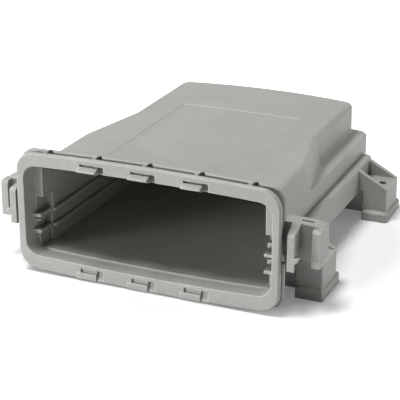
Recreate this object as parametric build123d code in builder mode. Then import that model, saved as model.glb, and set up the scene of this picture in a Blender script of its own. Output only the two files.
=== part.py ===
"""Moulded cup housing for a control unit, one piece with feet and hooks.

Own frame: X across the mouth, Y from the mouth (-Y) to the closed end (+Y),
Z up from the plane of the feet. Millimetres. While the piece is drawn, Y is
the depth behind the face of the mouth collar. The last block moves the
finished piece so that the middle of its bounding box stands over the origin.
"""
from build123d import *
from math import cos, radians, sin, tan
import os

# ---------------------------------------------------------------- collar
collar_half = 82.5          # half width over the collar
collar_low = 0.5            # lowest point of the arched underside
collar_high = 76.7          # highest point of the arched top
plate_radius = 12.0         # outer corners of the front plate
rim_radius = 8.0            # outer corners of the rear rim
crown_radius = 1750.0       # arch of the long sides, collar and cup alike
plate_thick = 3.7           # front plate of the collar
groove_wide = 3.2           # groove between front plate and rear rim
groove_deep = 4.0           # its depth at top and bottom
groove_side = 2.6           # its depth at the sides
rim_thick = 3.3             # rear rim
root_thick = 2.4            # throat carried on behind the rear rim
edge_break = 0.8            # bevel on the outer edges of plate and rim
rim_gap_low = 30.2          # the rear rim is left out beside the hooks
rim_gap_high = 56.0

# ----------------------------------------------------------------- mouth
face_wide = 4.7             # front face of the collar beside the mouth
mouth_low = 9.7             # mouth opening, at its middle
mouth_high = 68.9
mouth_radius = 8.5
mouth_deep = 9.4            # depth of the wider pocket behind the mouth
mouth_draft = 2.2           # how much that pocket narrows at each side
mouth_rise = 0.3            # how much it narrows above and below

# ------------------------------------------------------------------- cup
wall = 2.6
roof_high = 67.8            # crest of the arched roof
floor_low = 8.6             # lowest point of the arched underside
ledge_high = 46.0           # top of the wide lower tier
front_half = 73.1           # half width of the cup at the roof, mouth end
rear_half = 71.2            # the same, closed end
wall_lean = tan(radians(0.6))
rear_low = 198.9            # closed end of the lower tier, at its corners
rear_high = 194.4           # closed end of the upper tier, at its corners
rear_bow = 3.5              # bulge of the closed end
corner_round = 6.5          # upright corners of the closed end
neck_half = 61.9            # half width of the narrow upper tier, at the roof
neck_start = 66.0           # where the upper tier starts to narrow, at the roof
neck_run = 50.0             # length over which it narrows
neck_slip = 9.5             # how much further back it narrows at the ledge
neck_round = 9.0            # plan radius at both ends of the slant
neck_draft = 0.4
roof_round = 3.0
ledge_break = 1.2
cove_radius = 2.6
cove_steps = 3
keel_break = 3.0

# ----------------------------------------------------------- label panel
panel_half = 40.3
panel_start = 35.0
panel_length = 109.5
panel_deep = 0.5
panel_slope = 0.8           # bevel at the foot of its edges

# ----------------------------------------------------------------- skirt
skirt_reach = 4.5           # how far the skirt stands out from the cup
skirt_high = 34.3
skirt_low = 17.3
skirt_thick = 2.6
skirt_start = 24.0
skirt_end = 187.5
skirt_round = 2.8

# ------------------------------------------------------------------ feet
hole_pitch_x = 181.5
hole_pitch_y = 127.0
hole_radius = 2.75          # clearance for M5
hole_first = 44.0           # front pair of holes, behind the mouth face
foot_outside = 6.2          # from the hole to the outer face of the foot
foot_inside = 9.5           # from the hole to the inner end of its block
root_inner = 69.0           # feet, skirt and hooks start inside the cup's wall
foot_before = 12.4          # from the hole to the front face of the foot
foot_length = 26.0
foot_high = 22.0            # seat of the screw head
foot_wall = 3.0
web_set = 1.8               # the webs stand back from the block
foot_lift = 4.0             # the webs stay clear of the ground
foot_round = 1.2            # upright outer edges
boss_radius = 5.6
toe_high = 6.6
toe_before = 3.0            # toe plate in front of and behind the foot
toe_beside = 1.2
toe_round = 1.5
toe_break = 1.3             # bevel round its top
gusset_rise = 10.5          # how far the gussets climb to the skirt

# ----------------------------------------------------------- side hooks
hook_low = 27.8             # lower end of both arms
web_low = 30.0              # lower end of the web that carries them
hook_crest = 51.4           # top, from the cup to the inner arm
hook_shoulder = 50.9        # top, at the inner side of the outer arm
hook_high = 49.9            # top of the outer arm
hook_web = 17.8             # front of the web
hook_rear = 27.4
hook_wall = 2.7
arm_gap = 3.0               # from the collar to the tip of the inner arm
arm_tip = 4.0               # thickness of the inner arm at its tip
arm_root_gap = 0.7          # the same two sizes where it joins the web
arm_root = 5.1
inner_arm_front = 3.3
channel_wide = 7.0          # between the tip of the inner arm and the outer arm
outer_arm_wide = 4.7
outer_arm_front = 12.7
outer_arm_bevel = 0.9
arm_bevel = 1.2
strap_slot = 2.0            # slot through the top
strap_slot_set = 4.1        # its distance behind the web's front
strap_slot_out = 4.3        # its distance out from the collar
strap_slot_wide = 7.2
latch_foot = 1.3            # small latch beside the tip of the inner arm
latch_reach = 2.9
latch_low = 33.1
latch_high = 36.4
latch_deep = 2.5
shoulder_low = 10.5         # thick wall round the hollows behind the mouth
shoulder_high = 47.8

# ----------------------------------------------------- collar details
rib_pitch = 32.0
rib_count = 5
rib_wide = 2.4              # ribs that bridge the collar groove
rib_set = 1.0               # they stop short of the collar's outline
rib_shift = -1.8            # the row of ribs sits a little to the left
corner_wide = 19.7          # the groove is shallow this far in from each end
corner_set = 3.2
nick_wide = 4.0             # vee in the rear rim beside each rib
nick_deep = 2.8

# -------------------------------------------------------------- catches
catch_count = 3
top_catch_pitch = 32.4
top_catch_from = -7.7       # left side of an upper catch, from its station
top_catch_wide = 11.6
top_catch_high = 72.4       # upper end of its sloping face
top_catch_brow = 71.0       # lower end of that face
top_catch_lip = 69.9        # lower edge of the nose
top_catch_reach = 3.8
top_seat_high = 73.4
top_seat_deep = 1.6
catch_hang = 0.6            # the upper catches reach below the mouth edge
top_notch_wide = 3.6        # sloping notch beside each upper catch
low_catch_pitch = 33.2
low_catch_from = -10.8
low_catch_wide = 12.8
low_catch_low = 1.1
low_catch_high = 4.7
low_catch_reach = 0.4
low_seat_from = -8.3
low_seat_high = 7.6
low_seat_deep = 1.1
low_notch_wide = 4.6        # sloping notch beside each lower catch
notch_deep = 3.2

# ---------------------------------------------------------- board guides
rail_levels = (23.6, 33.7)  # long rails
lip_low = 30.4              # short rails beside the board slots
lip_high = 40.2             # this one at the right only
rail_thick = 1.8
lip_thick = 1.4
rail_half = 68.0            # free edge of the long rails
head_half = 70.9            # free edge of their heads behind the mouth
lip_reach = 2.8             # how far the short rails stand out of their hollow
head_start = 6.4
lip_start = 8.0
lip_end = 14.0
rail_end = 186.0
rail_root = 1.2             # how far the rails run into the wall
pocket_low = 22.4           # hollow in the side wall behind the mouth
pocket_high = 45.0
pocket_set = 2.6            # in from the side of the mouth
pocket_end = 19.5
well_low = 13.0             # shallower hollow below it
well_set = 2.0              # in from the side of the hollow above it
post_reach = 3.5            # upright stop at the rear of these hollows
post_high = 45.0
post_deep = 3.0

# ---------------------------------------------------------------- others
overrun = 1.0               # how far a cutting shape runs past a face
back = (0, 1, 0)            # direction from the mouth to the closed end


rear_most = rear_low + rear_bow


def arch(half_width):
    """Fall of the arched long sides at a distance from the middle."""
    return half_width**2 / (2 * crown_radius)


def at_depth(depth):
    """Upright plane across the cup, X to the right and Z up."""
    return Plane.XZ.offset(-depth)


def arched_outline(half_width, low, high):
    """Closed outline with an arched top and an arched underside."""
    upper = high - arch(half_width)
    lower = low + arch(half_width)
    with BuildLine() as outline:
        ThreePointArc((-half_width, upper), (0, high), (half_width, upper))
        Line((half_width, upper), (half_width, lower))
        ThreePointArc((half_width, lower), (0, low), (-half_width, lower))
        Line((-half_width, lower), (-half_width, upper))
    return outline.line


def arched_section(depth, half_width, low, high, radius):
    """Rounded section across the cup at a depth."""
    with BuildSketch(at_depth(depth)) as section:
        with BuildLine():
            add(arched_outline(half_width, low, high))
        make_face()
        fillet(section.vertices(), radius)
    return section.sketch


def collar_section(depth, inset, side_inset, radius):
    """The collar's outline, moved inwards."""
    return arched_section(
        depth,
        collar_half - side_inset,
        collar_low + inset,
        collar_high - inset,
        radius - inset,
    )


def side_half(level, depth):
    """Half width of the cup's side wall at a height and a depth."""
    taper = (rear_half - front_half) * depth / rear_low
    return front_half + taper + wall_lean * (roof_high - level)


def lower_plan(level, inset):
    """Plan of the wide lower tier at a height."""
    front = side_half(level, 0)
    rear = side_half(level, rear_low)
    with BuildSketch(Plane.XY.offset(level)) as plan:
        with BuildLine():
            Polyline((-rear, rear_low), (-front, 0), (front, 0), (rear, rear_low))
            ThreePointArc((rear, rear_low), (0, rear_most), (-rear, rear_low))
        make_face()
        fillet(plan.vertices().sort_by(Axis.Y)[-2:], corner_round)
        if inset != 0:
            offset(amount=-inset, kind=Kind.INTERSECTION)
    return plan.sketch


def upper_plan(level, inset):
    """Plan of the upper tier, full width at the mouth and narrow behind."""
    fall = (roof_high - level) / (roof_high - ledge_high)
    slant = neck_start + neck_slip * fall
    narrow = neck_half + neck_draft * fall
    front = side_half(level, 0)
    shoulder = side_half(level, slant)
    end = slant + neck_run
    bulge = rear_high + rear_bow
    with BuildSketch(Plane.XY.offset(level)) as plan:
        with BuildLine():
            Polyline((front, 0), (shoulder, slant), (narrow, end), (narrow, rear_high))
            ThreePointArc((narrow, rear_high), (0, bulge), (-narrow, rear_high))
            Polyline((-narrow, rear_high), (-narrow, end), (-shoulder, slant), (-front, 0))
            Line((-front, 0), (front, 0))
        make_face()
        fillet(plan.vertices().sort_by(Axis.Y)[2:6], neck_round)
        fillet(plan.vertices().sort_by(Axis.Y)[-2:], corner_round)
        if inset != 0:
            offset(amount=-inset, kind=Kind.INTERSECTION)
    return plan.sketch


def trim_to_roof_and_floor(inset):
    """Space between the arched floor and the arched roof."""
    with BuildPart() as space:
        with BuildSketch(at_depth(-overrun)):
            with BuildLine():
                add(arched_outline(collar_half, floor_low + inset, roof_high - inset))
            make_face()
        extrude(amount=-(rear_most + 2 * overrun))
    return space.part


# Sizes that follow from the ones above.
rim_front = plate_thick + groove_wide
collar_deep = rim_front + rim_thick
mouth_half = collar_half - face_wide
mouth_edge_half = mouth_half - mouth_draft
pocket_half = mouth_half - pocket_set
well_half = pocket_half - well_set
post_half = well_half - post_reach
lip_half = pocket_half - lip_reach
corner_from = collar_half - corner_wide
centre_shift = (rear_most - top_catch_reach) / 2
hole_half = hole_pitch_x / 2
foot_half = hole_half + foot_outside
foot_step = hole_half - foot_inside
skirt_half = side_half(skirt_high, 0) + skirt_reach
shoulder_half = pocket_half + wall
inner_arm = collar_half + arm_gap
outer_arm = inner_arm + arm_tip + channel_wide
hook_half = outer_arm + outer_arm_wide
above_roof = roof_high + overrun
under_ledge = ledge_high - 2 * cove_radius

# The cup: a wide lower tier and an upper tier that narrows behind a slant.

with BuildPart() as lower_tier:
    loft([lower_plan(ledge_high, 0), lower_plan(0, 0)], ruled=True)
    chamfer(lower_tier.faces().sort_by(Axis.Z)[-1].edges(), ledge_break)

with BuildPart() as upper_tier:
    layers = [upper_plan(under_ledge, 0)]
    for step in range(cove_steps + 1):
        angle = radians(90 * step / cove_steps)
        rise = cove_radius * (1 - cos(angle))
        spread = cove_radius * (1 - sin(angle))
        layers.append(upper_plan(ledge_high + rise, -spread))
    layers.append(upper_plan(above_roof, 0))
    loft(layers, ruled=True)
    loft([lower_plan(above_roof, 0), lower_plan(0, 0)], ruled=True, mode=Mode.INTERSECT)

with BuildPart() as cup:
    add(lower_tier.part)
    add(upper_tier.part)
    add(trim_to_roof_and_floor(0), mode=Mode.INTERSECT)
    roof_edges = cup.faces().sort_by(Axis.Z)[-1].edges()
    fillet(roof_edges.sort_by(Axis.Y)[1:], roof_round)
    floor_edges = cup.faces().sort_by(Axis.Z)[0].edges()
    chamfer(floor_edges.sort_by(Axis.Y)[1:], keel_break)

# The hollow of the cup keeps an even wall behind every outer face.
with BuildPart() as cavity:
    loft([lower_plan(ledge_high - wall, wall), lower_plan(0, wall)], ruled=True)
    loft([upper_plan(above_roof, wall), upper_plan(under_ledge - wall, wall)], ruled=True)
    add(trim_to_roof_and_floor(wall), mode=Mode.INTERSECT)

# The mouth: a wider pocket through the collar, with hollows at both sides.
with BuildPart() as mouth:
    loft(
        [
            arched_section(0, mouth_half, mouth_low, mouth_high, mouth_radius),
            arched_section(
                mouth_deep,
                mouth_edge_half,
                mouth_low + mouth_rise,
                mouth_high - mouth_rise,
                mouth_radius - mouth_draft,
            ),
        ]
    )
    hollow_middle = (mouth_deep + pocket_end) / 2
    with BuildSketch(Plane.XY.offset(pocket_low)):
        with Locations((0, hollow_middle)):
            Rectangle(2 * pocket_half, pocket_end - mouth_deep)
    extrude(amount=pocket_high - pocket_low)
    with BuildSketch(Plane.XY.offset(well_low)):
        with Locations((0, hollow_middle)):
            Rectangle(2 * well_half, pocket_end - mouth_deep)
    extrude(amount=pocket_low - well_low)

# The collar: front plate and rear rim with a groove between them.
with BuildPart() as collar:
    extrude(collar_section(0, 0, 0, plate_radius), amount=plate_thick, dir=back)
    extrude(collar_section(rim_front, 0, 0, rim_radius), amount=rim_thick, dir=back)
    chamfer(collar.faces().filter_by(Axis.Y).edges(), edge_break)
    nick_high = groove_deep + 2 * overrun
    with BuildSketch(Plane.XY.offset(collar_high - nick_high)):
        with Locations((rib_shift + (rib_wide + nick_wide) / 2, rim_front)):
            with GridLocations(rib_pitch, 0, rib_count, 1):
                Polygon((-nick_wide / 2, 0), (nick_wide / 2, 0), (0, nick_deep), align=None)
    extrude(amount=nick_high, mode=Mode.SUBTRACT)
    with BuildSketch(Plane.XY.offset(rim_gap_low)):
        with Locations((0, rim_front + rim_thick / 2)):
            Rectangle(2 * (collar_half + overrun), rim_thick)
            Rectangle(2 * mouth_half, rim_thick, mode=Mode.SUBTRACT)
    extrude(amount=rim_gap_high - rim_gap_low, mode=Mode.SUBTRACT)
    throat = collar_section(edge_break, groove_deep, groove_side, plate_radius)
    extrude(throat, amount=collar_deep + root_thick - edge_break, dir=back)

# Ribs and shallow corners that bridge the collar groove.
bridge_deep = groove_wide + 2 * edge_break
bridge_start = plate_thick - edge_break
with BuildPart() as ribs:
    bridge = collar_section(bridge_start, rib_set, rib_set, plate_radius)
    extrude(bridge, amount=bridge_deep, dir=back)
    with BuildSketch(Plane.XY):
        with Locations((rib_shift, rim_front - groove_wide / 2)):
            with GridLocations(rib_pitch, 0, rib_count, 1):
                Rectangle(rib_wide, 2 * bridge_deep)
    extrude(amount=collar_high, mode=Mode.INTERSECT)

with BuildPart() as corners:
    bridge = collar_section(bridge_start, corner_set, corner_set, plate_radius)
    extrude(bridge, amount=bridge_deep, dir=back)
    with BuildSketch(Plane.XZ):
        with Locations((0, collar_high - corner_wide / 2)):
            with GridLocations(2 * corner_from + corner_wide, 0, 2, 1):
                Rectangle(corner_wide, corner_wide)
    extrude(amount=-2 * collar_deep, mode=Mode.INTERSECT)

# One side's skirt, feet and hook, drawn at +X and mirrored afterwards.
with BuildPart() as skirt:
    with BuildSketch(at_depth(skirt_start)) as skirt_section:
        with BuildLine():
            Polyline(
                (root_inner, skirt_high),
                (skirt_half, skirt_high),
                (skirt_half, skirt_low),
                (skirt_half - skirt_thick, skirt_low),
                (skirt_half - skirt_thick, skirt_high - skirt_thick),
                (root_inner, skirt_high - skirt_thick),
                close=True,
            )
        make_face()
        fillet(skirt_section.vertices().group_by(Axis.Y)[-1].sort_by(Axis.X)[-1], skirt_round)
    extrude(amount=-(skirt_end - skirt_start))
    rear_edge = skirt.edges().filter_by(Axis.Z).group_by(Axis.X)[-1].sort_by(Axis.Y)[-1]
    chamfer(rear_edge, skirt_thick / 2)


def foot(hole_depth):
    """Hollow screw foot with a toe plate, webs and gussets, at +X."""
    front = hole_depth - foot_before
    middle = front + foot_length / 2
    web_high = foot_high - foot_wall
    web_deep = foot_length - 2 * web_set
    gusset_high = foot_high + gusset_rise
    block_middle = (foot_step + foot_half) / 2
    toe_wide = foot_half + toe_beside - foot_step
    with BuildPart() as toe:
        with BuildSketch(Plane.XY) as toe_plan:
            with Locations((foot_step + toe_wide / 2, middle)):
                Rectangle(toe_wide, foot_length + 2 * toe_before)
            fillet(toe_plan.vertices(), toe_round)
        extrude(amount=toe_high)
        chamfer(toe.faces().sort_by(Axis.Z)[-1].edges(), toe_break)
    with BuildPart() as body:
        with BuildSketch(at_depth(front)):
            with BuildLine():
                Polyline(
                    (foot_step, 0),
                    (foot_half, 0),
                    (foot_half, foot_high),
                    (skirt_half, gusset_high),
                    (root_inner, gusset_high),
                    (root_inner, web_high),
                    (foot_step, web_high),
                    close=True,
                )
            make_face()
        extrude(amount=-foot_length)
        with BuildSketch(at_depth(front + web_set)):
            with Locations(((root_inner + foot_step) / 2, (foot_lift + web_high) / 2)):
                Rectangle(foot_step - root_inner, web_high - foot_lift)
        extrude(amount=-web_deep)
        with BuildSketch(at_depth(front + foot_wall)):
            with BuildLine():
                Polyline(
                    (root_inner, foot_high),
                    (foot_half, foot_high),
                    (foot_half, gusset_high),
                    (root_inner, gusset_high),
                    close=True,
                )
            make_face()
        extrude(amount=-(foot_length - 2 * foot_wall), mode=Mode.SUBTRACT)
        with BuildSketch(Plane.XY):
            with Locations(((root_inner + foot_step) / 2, middle)):
                Rectangle(foot_step - root_inner, web_deep - 2 * foot_wall)
        extrude(amount=web_high, mode=Mode.SUBTRACT)
        outer_edges = body.edges().filter_by(Axis.Z).group_by(Axis.X)[-1]
        fillet(outer_edges, foot_round)
        add(toe.part)
        with BuildSketch(Plane.XY):
            with Locations((block_middle, middle)):
                Rectangle(foot_half - foot_step - 2 * foot_wall, foot_length - 2 * foot_wall)
            with Locations((hole_half, hole_depth)):
                Circle(boss_radius, mode=Mode.SUBTRACT)
        extrude(amount=web_high, mode=Mode.SUBTRACT)
        with Locations((hole_half, hole_depth, foot_high)):
            Hole(hole_radius)
    return body.part


# The inner arm of a hook, thicker at its root, with a latch beside its tip.
with BuildPart() as inner_arm_body:
    with BuildSketch(Plane.XY.offset(hook_low)):
        with BuildLine():
            Polyline(
                (inner_arm, inner_arm_front),
                (inner_arm + arm_tip, inner_arm_front),
                (collar_half + arm_root_gap + arm_root, hook_web),
                (collar_half + arm_root_gap + arm_root, hook_web + hook_wall),
                (collar_half + arm_root_gap, hook_web + hook_wall),
                (collar_half + arm_root_gap, hook_web),
                close=True,
            )
        make_face()
    extrude(amount=hook_crest - hook_low)
    with BuildSketch(Plane.YZ.offset(collar_half)):
        with BuildLine():
            Polyline(
                (inner_arm_front, hook_low),
                (inner_arm_front + latch_deep, hook_low),
                (inner_arm_front + latch_deep, latch_high),
                (hook_rear, latch_high),
                (hook_rear, hook_crest),
                (hook_web, hook_crest),
                (inner_arm_front + arm_bevel, hook_high),
                (inner_arm_front, hook_high - arm_bevel),
                close=True,
            )
        make_face()
    extrude(amount=outer_arm - collar_half, mode=Mode.INTERSECT)
    with BuildSketch(at_depth(inner_arm_front)):
        latch_side = inner_arm + arm_tip
        with BuildLine():
            Polyline(
                (inner_arm + arm_tip / 2, latch_low),
                (latch_side + latch_foot, latch_low),
                (latch_side + latch_reach, latch_high),
                (inner_arm + arm_tip / 2, latch_high),
                close=True,
            )
        make_face()
    extrude(amount=-latch_deep)

with BuildPart() as hook:
    with BuildSketch(at_depth(hook_web)):
        with BuildLine():
            Polyline(
                (root_inner, web_low),
                (hook_half, web_low),
                (hook_half, hook_high - outer_arm_bevel),
                (hook_half - outer_arm_bevel, hook_high),
                (outer_arm, hook_shoulder),
                (collar_half + arm_root_gap + arm_root, hook_crest),
                (root_inner, hook_crest),
                close=True,
            )
        make_face()
    extrude(amount=-(hook_rear - hook_web))
    with BuildSketch(Plane.XY.offset(web_low)):
        hollow_to = hook_half - hook_wall
        with Locations(((skirt_half + hollow_to) / 2, (hook_web + hook_rear) / 2)):
            Rectangle(hollow_to - skirt_half, hook_rear - hook_web - 2 * hook_wall)
    extrude(amount=hook_high - hook_wall - web_low, mode=Mode.SUBTRACT)
    with BuildSketch(Plane.XY.offset(web_low)):
        slot_middle = collar_half + strap_slot_out + strap_slot_wide / 2
        with Locations((slot_middle, hook_web + strap_slot_set + strap_slot / 2)):
            Rectangle(strap_slot_wide, strap_slot)
    extrude(amount=hook_crest - web_low, mode=Mode.SUBTRACT)
    with BuildSketch(Plane.YZ.offset(outer_arm)):
        with BuildLine():
            Polyline(
                (outer_arm_front, hook_low),
                (hook_web + hook_wall, hook_low),
                (hook_web + hook_wall, hook_high),
                (outer_arm_front + arm_bevel, hook_high),
                (outer_arm_front, hook_high - arm_bevel),
                close=True,
            )
        make_face()
    extrude(amount=outer_arm_wide)
    add(inner_arm_body.part)
    shoulder_deep = hook_web + hook_wall - rim_front
    with BuildSketch(Plane.XY.offset(shoulder_low)):
        with Locations(((root_inner + shoulder_half) / 2, rim_front + shoulder_deep / 2)):
            Rectangle(shoulder_half - root_inner, shoulder_deep)
    extrude(amount=shoulder_high - shoulder_low)

with BuildPart() as side:
    add(skirt.part)
    add(foot(hole_first))
    add(foot(hole_first + hole_pitch_y))
    add(hook.part)


def rail(level, thick, free_half, wall_half, start, end):
    """One guide rail on the +X wall."""
    with BuildPart() as bar:
        with BuildSketch(Plane.XY.offset(level - thick / 2)):
            with Locations(((free_half + wall_half) / 2, (start + end) / 2)):
                Rectangle(wall_half - free_half, end - start)
        extrude(amount=thick)
    return bar.part


rail_wall = side_half(skirt_high, rail_end) - wall + rail_root
head_wall = pocket_half + rail_root
with BuildPart() as guides:
    for level in rail_levels:
        add(rail(level, rail_thick, rail_half, rail_wall, pocket_end, rail_end))
        add(rail(level, rail_thick, head_half, head_wall, head_start, pocket_end))
    add(rail(lip_low, lip_thick, lip_half, head_wall, lip_start, lip_end))
    post_low = rail_levels[1]
    post_middle = (post_low + post_high) / 2
    post_end = pocket_end + post_deep
    add(rail(post_middle, post_high - post_low, post_half, rail_wall, pocket_end, post_end))

# Snap catches in the collar's front plate, three above and three below.
with BuildPart() as top_catch:
    with BuildSketch(Plane.YZ.offset(top_catch_from)):
        with BuildLine():
            Polyline(
                (top_seat_deep + overrun, mouth_high - catch_hang),
                (0, mouth_high - catch_hang),
                (-top_catch_reach, top_catch_lip),
                (-top_catch_reach, top_catch_brow),
                (top_seat_deep, top_catch_high),
                (top_seat_deep + overrun, top_catch_high),
                close=True,
            )
        make_face()
    extrude(amount=top_catch_wide)

with BuildPart() as top_seat:
    seat_low = mouth_high - catch_hang - overrun
    with BuildSketch(Plane.YZ.offset(top_catch_from)):
        with Locations((top_seat_deep / 2, (seat_low + top_seat_high) / 2)):
            Rectangle(top_seat_deep, top_seat_high - seat_low)
    extrude(amount=top_catch_wide)
    with BuildSketch(Plane.YZ.offset(top_catch_from + top_catch_wide)):
        with BuildLine():
            Polyline((0, seat_low), (notch_deep, top_seat_high), (0, top_seat_high), close=True)
        make_face()
    extrude(amount=top_notch_wide)

with BuildPart() as low_catch:
    with BuildSketch(Plane.YZ.offset(low_catch_from)):
        with BuildLine():
            Polyline(
                (notch_deep, low_catch_low),
                (-low_catch_reach, low_catch_low),
                (-low_catch_reach, low_catch_high - low_catch_reach),
                (0, low_catch_high),
                (notch_deep, low_catch_high),
                close=True,
            )
        make_face()
    extrude(amount=low_catch_wide)

with BuildPart() as low_seat:
    low_right = low_catch_from + low_catch_wide
    with BuildSketch(Plane.YZ.offset(low_seat_from)):
        with Locations((low_seat_deep / 2, (low_catch_low + low_seat_high) / 2)):
            Rectangle(low_seat_deep, low_seat_high - low_catch_low)
    extrude(amount=low_right - low_seat_from)
    with BuildSketch(Plane.YZ.offset(low_right)):
        with BuildLine():
            Polyline((0, low_catch_low), (notch_deep, low_seat_high), (0, low_seat_high), close=True)
        make_face()
    extrude(amount=low_notch_wide)

# The label panel is a shallow recess that follows the arched roof.
with BuildPart() as label_panel:
    with BuildSketch(at_depth(panel_start)):
        with BuildLine():
            panel_side = roof_high - panel_deep - arch(panel_half)
            ThreePointArc(
                (-panel_half, panel_side), (0, roof_high - panel_deep), (panel_half, panel_side)
            )
            Polyline(
                (panel_half, panel_side),
                (panel_half, above_roof),
                (-panel_half, above_roof),
                (-panel_half, panel_side),
            )
        make_face()
    extrude(amount=-panel_length)
    chamfer(label_panel.faces().sort_by(Axis.Z)[0].edges(), panel_slope)


def stations(pitch):
    """Places of the catches, following the arch of the collar."""
    across = [pitch * (place - (catch_count - 1) / 2) for place in range(catch_count)]
    return [(x, arch(x)) for x in across]


# The whole moulding.
with BuildPart() as housing:
    add(cup.part)
    add(collar.part)
    add(ribs.part)
    add(corners.part)
    add(side.part)
    mirror(side.part, about=Plane.YZ)
    add(cavity.part, mode=Mode.SUBTRACT)
    add(mouth.part, mode=Mode.SUBTRACT)
    add(label_panel.part, mode=Mode.SUBTRACT)
    add(guides.part)
    mirror(guides.part, about=Plane.YZ)
    add(rail(lip_high, lip_thick, lip_half, head_wall, lip_start, lip_end))
    for x, fall in stations(top_catch_pitch):
        with Locations((x, 0, -fall)):
            add(top_seat.part, mode=Mode.SUBTRACT)
            add(top_catch.part)
    for x, fall in stations(low_catch_pitch):
        with Locations((x, 0, fall)):
            add(low_seat.part, mode=Mode.SUBTRACT)
            add(low_catch.part)

# The finished piece, moved over the origin of its own frame.
with BuildPart() as placed:
    with Locations((0, -centre_shift, 0)):
        add(housing.part)

os.makedirs("parts", exist_ok=True)
placed.part.label = "housing"
export_step(placed.part, "parts/housing.step")
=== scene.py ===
"""Finish, light and camera for the moulded housing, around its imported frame."""

from math import cos, radians, sin

import bmesh
import bpy
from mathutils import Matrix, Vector


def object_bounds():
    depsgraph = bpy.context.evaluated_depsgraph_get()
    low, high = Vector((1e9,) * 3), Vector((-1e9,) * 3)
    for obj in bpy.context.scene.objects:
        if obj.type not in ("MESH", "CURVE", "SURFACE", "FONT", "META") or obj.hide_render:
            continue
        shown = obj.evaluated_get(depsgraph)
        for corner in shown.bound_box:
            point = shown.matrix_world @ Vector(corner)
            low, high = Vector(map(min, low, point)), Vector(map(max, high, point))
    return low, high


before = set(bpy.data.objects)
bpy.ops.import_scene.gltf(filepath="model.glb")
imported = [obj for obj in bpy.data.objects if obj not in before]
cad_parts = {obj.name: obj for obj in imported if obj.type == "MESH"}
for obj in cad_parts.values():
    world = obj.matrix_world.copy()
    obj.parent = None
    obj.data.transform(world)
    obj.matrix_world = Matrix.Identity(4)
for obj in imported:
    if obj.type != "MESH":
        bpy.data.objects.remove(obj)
cad_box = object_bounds()

# ------------------------------------------------------------------ sizes
MM = 0.001
low, high = (Vector(corner) for corner in cad_box)

# Camera round the object: angles in degrees, lengths in metres.
CAMERA_AZIMUTH = 23.66
CAMERA_ELEVATION = 21.76
CAMERA_DISTANCE = 0.819
CAMERA_LENS_MM = 122.2
CAMERA_SENSOR_MM = 36.0
# Front face of the collar, and the point that the camera looks at, behind that face.
COLLAR_FACE_Y = -99.3 * MM
AIM = Vector((8.72 * MM, COLLAR_FACE_Y + 60.0 * MM, 37.15 * MM))

# Moulded surface, noise scales in cells per metre. Real spark-eroded grain is about
# 0.1 mm wide, and is drawn 1.5 mm wide so that it shows. The flow marks are 36 mm wide.
GRAIN_SCALE = 650.0
FLOW_SCALE = 28.0
GRAIN_DEEP = 0.2 * MM
GRAIN_STRENGTH = 0.4
# Roughness at the low and the high spots of the grain.
ROUGHNESS = (0.42, 0.56)
SPECULAR_LEVEL = 0.4
# Dark and light shade of the mottle, and the noise values at which they are reached.
PLASTIC_SHADES = ("#a1a29c", "#abaca6")
SHADE_SPAN = (0.4, 0.6)
# Sharp edges: their rounding in the shading, the cosines of its turn between which a painted
# highlight pales the plastic, the reach and openness that keep it to outer edges, and its
# colour.
EDGE_ROUND = 0.9 * MM
EDGE_TURN = (0.965, 0.8)
EDGE_REACH = 3.0 * MM
EDGE_OPEN = (0.55, 0.9)
PAINTED_HIGHLIGHT_COLOUR = "#e6e7e1"
# Narrow recesses with painted shade: reach, openness between which the painted shade deepens,
# largest share, colour.
RECESS_REACH = 14.0 * MM
RECESS_OPEN = (0.6, 0.25)
PAINTED_SHADE_SHARE = 0.5
PAINTED_SHADE_COLOUR = "#595a55"
# Rays that the edge and recess masks send out.
MASK_RAYS = 8
# Places of a Mix node's colours among its inputs and outputs, which share their names
# with its numbers and vectors.
MIX_FROM, MIX_TO, MIX_COLOUR = 6, 7, 2

# Soft boxes: width of each and distance from the object, in metres.
BOX_WIDE = 0.6
BOX_AWAY = 1.6
# Soft boxes by name: azimuth and elevation in degrees, power in watts.
SOFT_BOXES = {
    "key_box": (-40, 74, 21.0),
    "left_box": (-40, 4, 21.0),
    "right_box": (112, 6, 6.5),
    "rear_box": (180, 60, 0.6),
}
# The sheet under the object: its half width in metres, its colour, and the light added
# to it near the object for the camera and for glossy and transmitted rays.
SHEET_HALF = 6.0
SHEET_COLOUR = "#f0f0f3"
SHEET_LIFT = 0.16
# Distances from the object's middle, in metres, over which its shadow gives way to white.
SHADOW_REACH = (0.115, 0.19)
# Strength of the surround's light on the object.
SURROUND_DIM = 0.02


# -------------------------------------------------------------- materials
def srgb(code):
    """Linear colour with alpha from an sRGB hex code."""
    channels = [int(code[i : i + 2], 16) / 255 for i in (1, 3, 5)]
    linear = [c / 12.92 if c <= 0.04045 else ((c + 0.055) / 1.055) ** 2.4 for c in channels]
    return (*linear, 1.0)


def add_node(tree, kind, inputs=None, **settings):
    """A node with its settings, constants and incoming links."""
    node = tree.nodes.new(kind)
    for name, value in settings.items():
        setattr(node, name, value)
    for name, value in (inputs or {}).items():
        if isinstance(value, bpy.types.NodeSocket):
            tree.links.new(value, node.inputs[name])
        else:
            node.inputs[name].default_value = value
    return node


def new_material(name):
    """An empty node material with its shader and its object coordinates."""
    material = bpy.data.materials.new(name)
    material.use_nodes = True
    tree = material.node_tree
    shader = tree.nodes["Principled BSDF"]
    coordinates = add_node(tree, "ShaderNodeTexCoord").outputs["Object"]
    return material, tree, shader, coordinates


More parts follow.
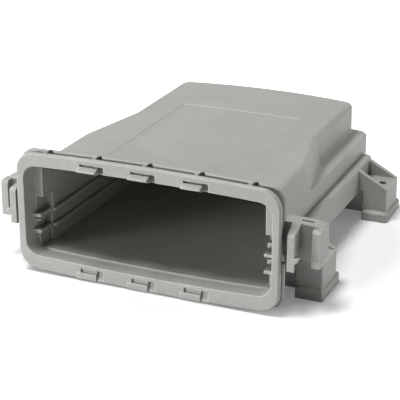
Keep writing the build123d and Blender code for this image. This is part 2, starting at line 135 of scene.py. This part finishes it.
def moulded_plastic():
    """Grey glass-filled polyester with a spark-eroded texture, as moulded.

    Its outer edges are painted paler, a painted highlight, and narrow recesses are painted
    darker, a painted shade.
    """
    material, tree, shader, coordinates = new_material("grey_moulded_polyester")
    flow = add_node(
        tree, "ShaderNodeTexNoise", {"Vector": coordinates, "Scale": FLOW_SCALE, "Detail": 3.0}
    )
    grain = add_node(
        tree, "ShaderNodeTexNoise", {"Vector": coordinates, "Scale": GRAIN_SCALE, "Detail": 2.0}
    )
    mottle = add_node(
        tree,
        "ShaderNodeMix",
        {"Factor": 0.5, "A": flow.outputs["Fac"], "B": grain.outputs["Fac"]},
        data_type="FLOAT",
    )
    tint = add_node(tree, "ShaderNodeValToRGB", {"Fac": mottle.outputs["Result"]})
    for stop, place, shade in zip(tint.color_ramp.elements, SHADE_SPAN, PLASTIC_SHADES):
        stop.position = place
        stop.color = srgb(shade)
    rounded = add_node(tree, "ShaderNodeBevel", {"Radius": EDGE_ROUND}, samples=MASK_RAYS)
    flat = add_node(tree, "ShaderNodeNewGeometry")
    turned = add_node(
        tree,
        "ShaderNodeVectorMath",
        {0: rounded.outputs["Normal"], 1: flat.outputs["Normal"]},
        operation="DOT_PRODUCT",
    )
    edge = add_node(
        tree,
        "ShaderNodeMapRange",
        {"Value": turned.outputs["Value"], "From Min": EDGE_TURN[0], "From Max": EDGE_TURN[1]},
    )
    open_air = add_node(
        tree, "ShaderNodeAmbientOcclusion", {"Distance": EDGE_REACH}, samples=MASK_RAYS
    )
    outside = add_node(
        tree,
        "ShaderNodeMapRange",
        {"Value": open_air.outputs["AO"], "From Min": EDGE_OPEN[0], "From Max": EDGE_OPEN[1]},
    )
    # Painted highlight: outer sharp edges get a paler colour where light would catch them.
    painted_highlight_amount = add_node(
        tree,
        "ShaderNodeMath",
        {0: edge.outputs["Result"], 1: outside.outputs["Result"]},
        operation="MULTIPLY",
    )
    colour = add_node(
        tree,
        "ShaderNodeMix",
        {
            "Factor": painted_highlight_amount.outputs["Value"],
            MIX_FROM: tint.outputs["Color"],
            MIX_TO: srgb(PAINTED_HIGHLIGHT_COLOUR),
        },
        data_type="RGBA",
    )
    # Painted shade: narrow recesses get a darker colour where shade falls.
    narrow = add_node(
        tree, "ShaderNodeAmbientOcclusion", {"Distance": RECESS_REACH}, samples=MASK_RAYS
    )
    painted_shade_amount = add_node(
        tree,
        "ShaderNodeMapRange",
        {
            "Value": narrow.outputs["AO"],
            "From Min": RECESS_OPEN[0],
            "From Max": RECESS_OPEN[1],
            "To Max": PAINTED_SHADE_SHARE,
        },
    )
    shaded_colour = add_node(
        tree,
        "ShaderNodeMix",
        {
            "Factor": painted_shade_amount.outputs["Result"],
            MIX_FROM: colour.outputs[MIX_COLOUR],
            MIX_TO: srgb(PAINTED_SHADE_COLOUR),
        },
        data_type="RGBA",
    )
    tree.links.new(shaded_colour.outputs[MIX_COLOUR], shader.inputs["Base Color"])
    sheen = add_node(
        tree,
        "ShaderNodeMapRange",
        {"Value": grain.outputs["Fac"], "To Min": ROUGHNESS[0], "To Max": ROUGHNESS[1]},
    )
    tree.links.new(sheen.outputs["Result"], shader.inputs["Roughness"])
    bump = add_node(
        tree,
        "ShaderNodeBump",
        {
            "Height": grain.outputs["Fac"],
            "Normal": rounded.outputs["Normal"],
            "Strength": GRAIN_STRENGTH,
            "Distance": GRAIN_DEEP,
        },
    )
    tree.links.new(bump.outputs["Normal"], shader.inputs["Normal"])
    shader.inputs["Specular IOR Level"].default_value = SPECULAR_LEVEL
    return material


def finish_nodes(material):
    """Gives every node of the frame the same moulded plastic."""
    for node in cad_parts.values():
        node.data.materials.clear()
        node.data.materials.append(material)


# ------------------------------------------------------------------ stage
def seen_white(tree):
    """1 for camera, glossy and transmitted rays, which see a white studio."""
    path = add_node(tree, "ShaderNodeLightPath")
    seen = path.outputs["Is Camera Ray"]
    for ray in ("Is Glossy Ray", "Is Transmission Ray"):
        seen = add_node(
            tree, "ShaderNodeMath", {0: seen, 1: path.outputs[ray]}, operation="MAXIMUM"
        ).outputs["Value"]
    return seen


def studio_floor():
    """One large white sheet under the feet, which keeps the shadow."""
    mesh = bpy.data.meshes.new("studio_floor")
    form = bmesh.new()
    bmesh.ops.create_grid(form, x_segments=1, y_segments=1, size=SHEET_HALF)
    form.to_mesh(mesh)
    form.free()
    floor = bpy.data.objects.new("studio_floor", mesh)
    bpy.context.collection.objects.link(floor)
    material, tree, shader, coordinates = new_material("white_studio_sheet")
    shader.inputs["Base Color"].default_value = srgb(SHEET_COLOUR)
    shader.inputs["Roughness"].default_value = 1.0
    shader.inputs["Specular IOR Level"].default_value = 0.0
    shader.inputs["Emission Color"].default_value = srgb("#ffffff")
    away = add_node(tree, "ShaderNodeVectorMath", {0: coordinates}, operation="LENGTH")
    lift = add_node(
        tree,
        "ShaderNodeMapRange",
        {
            "Value": away.outputs["Value"],
            "From Min": SHADOW_REACH[0],
            "From Max": SHADOW_REACH[1],
            "To Min": SHEET_LIFT,
            "To Max": 1.0,
        },
    )
    seen = add_node(
        tree,
        "ShaderNodeMath",
        {0: seen_white(tree), 1: lift.outputs["Result"]},
        operation="MULTIPLY",
    )
    tree.links.new(seen.outputs["Value"], shader.inputs["Emission Strength"])
    mesh.materials.append(material)


def soft_light(name, azimuth, elevation, power):
    """A round soft box at an angle round the object, facing its middle."""
    turn, rise = radians(azimuth), radians(elevation)
    toward = Vector((sin(turn) * cos(rise), -cos(turn) * cos(rise), sin(rise)))
    data = bpy.data.lights.new(name, "AREA")
    data.shape = "DISK"
    data.size = BOX_WIDE
    data.energy = power
    light = bpy.data.objects.new(name, data)
    light.location = (low + high) / 2 + toward * BOX_AWAY
    light.rotation_euler = toward.to_track_quat("Z", "Y").to_euler()
    bpy.context.collection.objects.link(light)


def studio_light():
    """The soft boxes, and a dim surround that the camera and reflections see white."""
    for name, (azimuth, elevation, power) in SOFT_BOXES.items():
        soft_light(name, azimuth, elevation, power)
    world = bpy.data.worlds.new("pale_surround")
    bpy.context.scene.world = world
    world.use_nodes = True
    tree = world.node_tree
    dim = tree.nodes["Background"]
    dim.inputs["Color"].default_value = srgb("#ffffff")
    dim.inputs["Strength"].default_value = SURROUND_DIM
    white = add_node(tree, "ShaderNodeBackground", {"Color": srgb("#ffffff"), "Strength": 1.0})
    surround = add_node(
        tree,
        "ShaderNodeMixShader",
        {"Fac": seen_white(tree), 1: dim.outputs["Background"], 2: white.outputs["Background"]},
    )
    tree.links.new(surround.outputs["Shader"], tree.nodes["World Output"].inputs["Surface"])


# ----------------------------------------------------------------- camera
def studio_camera():
    """The camera, placed round the aim point."""
    azimuth = radians(CAMERA_AZIMUTH)
    elevation = radians(CAMERA_ELEVATION)
    back = Vector(
        (sin(azimuth) * cos(elevation), -cos(azimuth) * cos(elevation), sin(elevation))
    )
    data = bpy.data.cameras.new("camera")
    data.lens = CAMERA_LENS_MM
    data.sensor_width = CAMERA_SENSOR_MM
    data.sensor_fit = "HORIZONTAL"
    camera = bpy.data.objects.new("camera", data)
    camera.location = AIM + back * CAMERA_DISTANCE
    camera.rotation_euler = back.to_track_quat("Z", "Y").to_euler()
    bpy.context.collection.objects.link(camera)
    bpy.context.scene.camera = camera


finish_nodes(moulded_plastic())
studio_floor()
studio_light()
studio_camera()
bpy.context.scene.view_settings.view_transform = "Standard"
